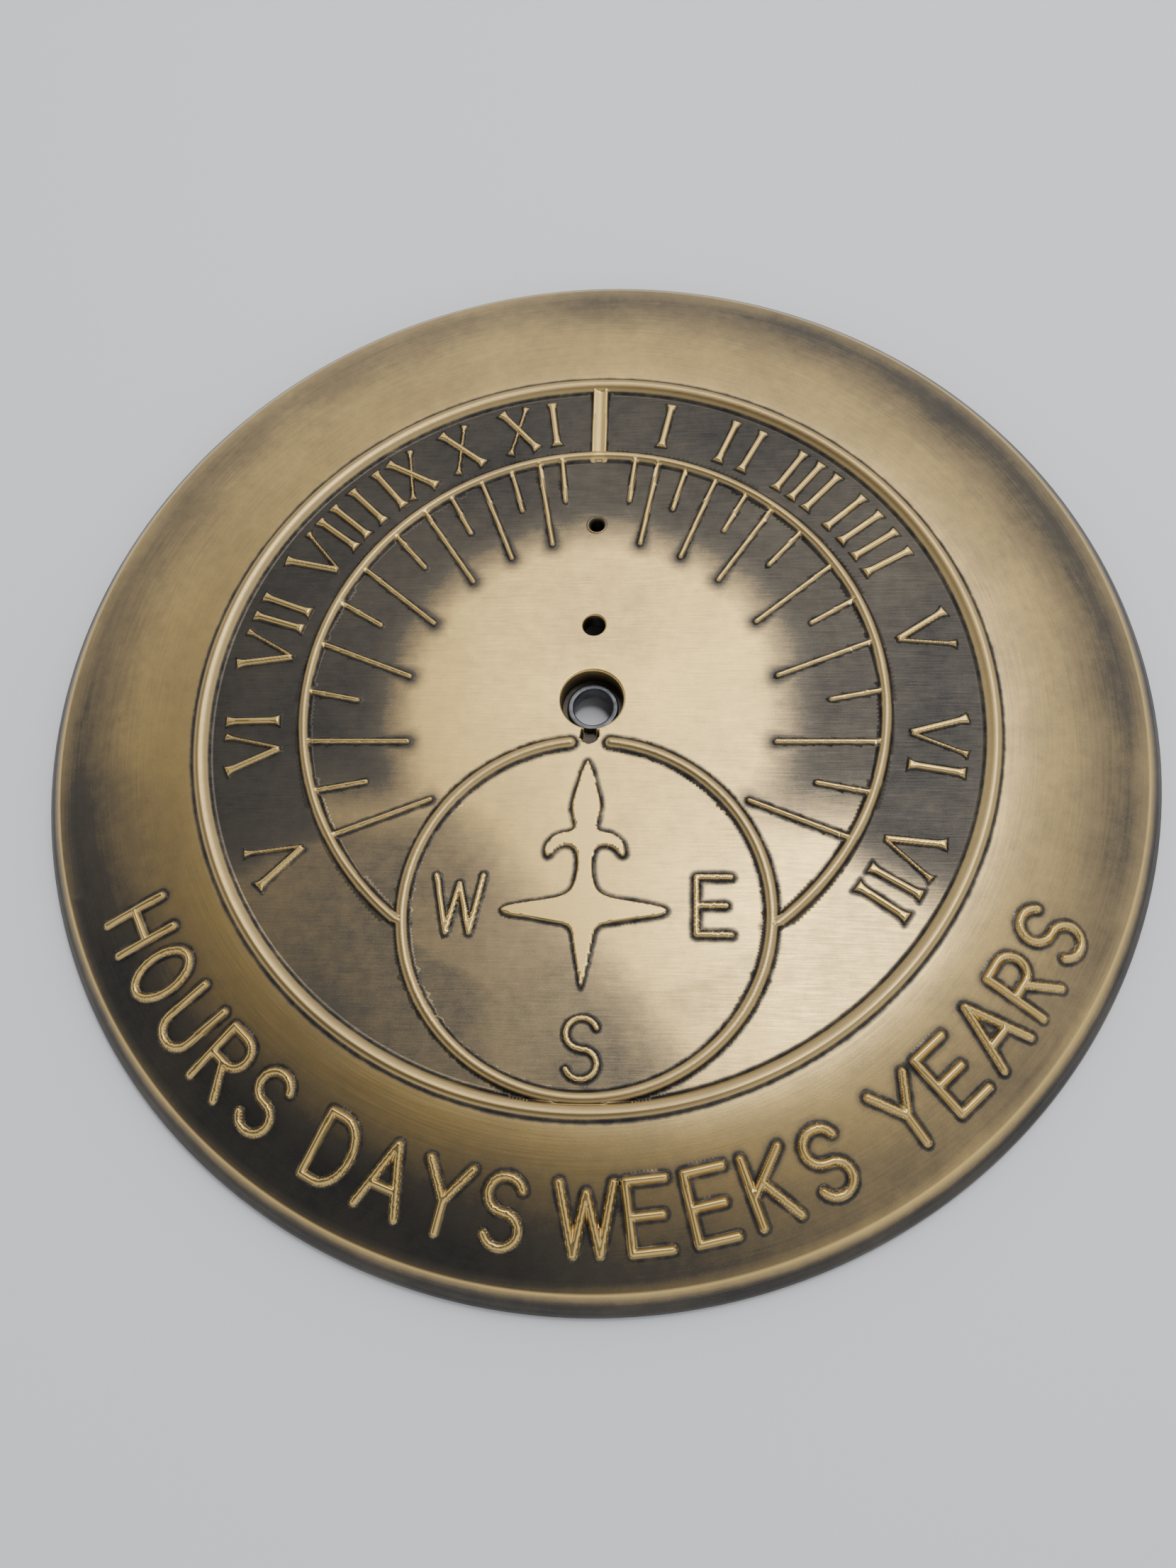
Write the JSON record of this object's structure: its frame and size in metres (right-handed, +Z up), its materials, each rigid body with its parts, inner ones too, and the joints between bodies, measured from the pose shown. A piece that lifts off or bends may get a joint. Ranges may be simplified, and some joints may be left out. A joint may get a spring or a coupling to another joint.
{
  "type": "garden sundial",
  "caption": "Round cast brass garden sundial plate with raised hour lines, numerals and compass ring, and its loose gnomon kit stowed in the hollow back.",
  "frame": {"origin": "centre of the plate, on the plane of its rim foot", "axes": "+Z up out of the dial face, +Y towards the noon numeral position (north), +X towards the afternoon hours (east)"},
  "size_m": [0.3048, 0.3048, 0.016],
  "materials": {
    "antique_brass": "cast brass with a dark patina in the hollows, rubbed back to a warm brushed brass on every raised surface",
    "bush_metal": "turned grey metal, dulled",
    "plain_brass": "cast brass, filed on the style edges and lightly dulled",
    "screw_steel": "bright turned screw steel"
  },
  "bodies": {
    "gnomon_kit": {"gnomon": "plain_brass", "gnomon_screw": "screw_steel", "gnomon_screw_washer": "screw_steel", "gnomon_small_screw": "screw_steel", "gnomon_small_screw_washer": "screw_steel"},
    "dial": {"dial_plate": "antique_brass", "bore_bush": "bush_metal"}
  },
  "joints": [
    {"name": "dial_lift", "type": "slide", "parent": "gnomon_kit", "child": "dial", "axis": [0, 0, 1], "range_m": [0, 0.06]}
  ]
}
